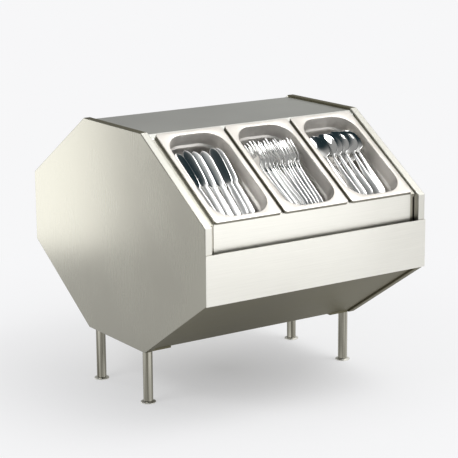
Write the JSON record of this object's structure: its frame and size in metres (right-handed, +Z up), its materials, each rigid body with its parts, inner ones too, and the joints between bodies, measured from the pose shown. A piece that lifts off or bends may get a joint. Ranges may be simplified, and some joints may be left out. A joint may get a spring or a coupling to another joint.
{
  "type": "waiter service station",
  "caption": "Octagonal sheet-steel service station on tube legs, with lift-out cutlery containers on its front slant and a drawer below them.",
  "frame": {"origin": "on the floor, under the middle of the bounding box", "axes": "+Z up, -Y towards the front with the containers and the drawer, +X to the right seen from the front"},
  "size_m": [0.56, 0.7172, 0.5871],
  "materials": {
    "satin_steel": "satin",
    "polished_steel": "polished",
    "plain_steel": "plain mill finish",
    "nylon": "matte",
    "rubber": "matte"
  },
  "bodies": {
    "body": {"side_panel_left": "satin_steel", "side_panel_right": "satin_steel", "top_panel": "satin_steel", "rear_panel": "satin_steel", "base_panel": "satin_steel", "front_fascia": "satin_steel", "divider_bar_1": "satin_steel", "divider_bar_2": "satin_steel", "side_bearer_left": "satin_steel", "side_bearer_right": "satin_steel", "leg_plate_front_left": "satin_steel", "leg_plate_front_right": "satin_steel", "leg_plate_rear_left": "satin_steel", "leg_plate_rear_right": "satin_steel", "leg_front_left": "polished_steel", "leg_front_right": "polished_steel", "leg_rear_left": "polished_steel", "leg_rear_right": "polished_steel", "foot_front_left": "polished_steel", "foot_front_right": "polished_steel", "foot_rear_left": "polished_steel", "foot_rear_right": "polished_steel", "base_channel_front": "plain_steel", "base_channel_rear": "plain_steel", "runner_bracket_left": "plain_steel", "runner_bracket_right": "plain_steel", "runner_left": "plain_steel", "runner_right": "plain_steel"},
    "drawer": {"drawer_tray": "satin_steel", "drawer_front": "satin_steel", "slide_rail_left": "plain_steel", "slide_rail_right": "plain_steel", "glide_front_left": "nylon", "glide_front_right": "nylon", "glide_rear_left": "nylon", "glide_rear_right": "nylon", "bumper_upper_left": "rubber", "bumper_upper_right": "rubber", "bumper_lower_left": "rubber", "bumper_lower_right": "rubber"},
    "left_container": {"container_left": "polished_steel"},
    "middle_container": {"container_middle": "polished_steel"},
    "right_container": {"container_right": "polished_steel"}
  },
  "joints": [
    {"name": "drawer_slide", "type": "slide", "parent": "body", "child": "drawer", "axis": [0, -1, 0], "range_m": [0, 0.3]},
    {"name": "left_container_lift", "type": "slide", "parent": "body", "child": "left_container", "axis": [0, -0.5476, 0.8368], "range_m": [0, 0.16]},
    {"name": "middle_container_lift", "type": "slide", "parent": "body", "child": "middle_container", "axis": [0, -0.5476, 0.8368], "range_m": [0, 0.16]},
    {"name": "right_container_lift", "type": "slide", "parent": "body", "child": "right_container", "axis": [0, -0.5476, 0.8368], "range_m": [0, 0.16]}
  ]
}
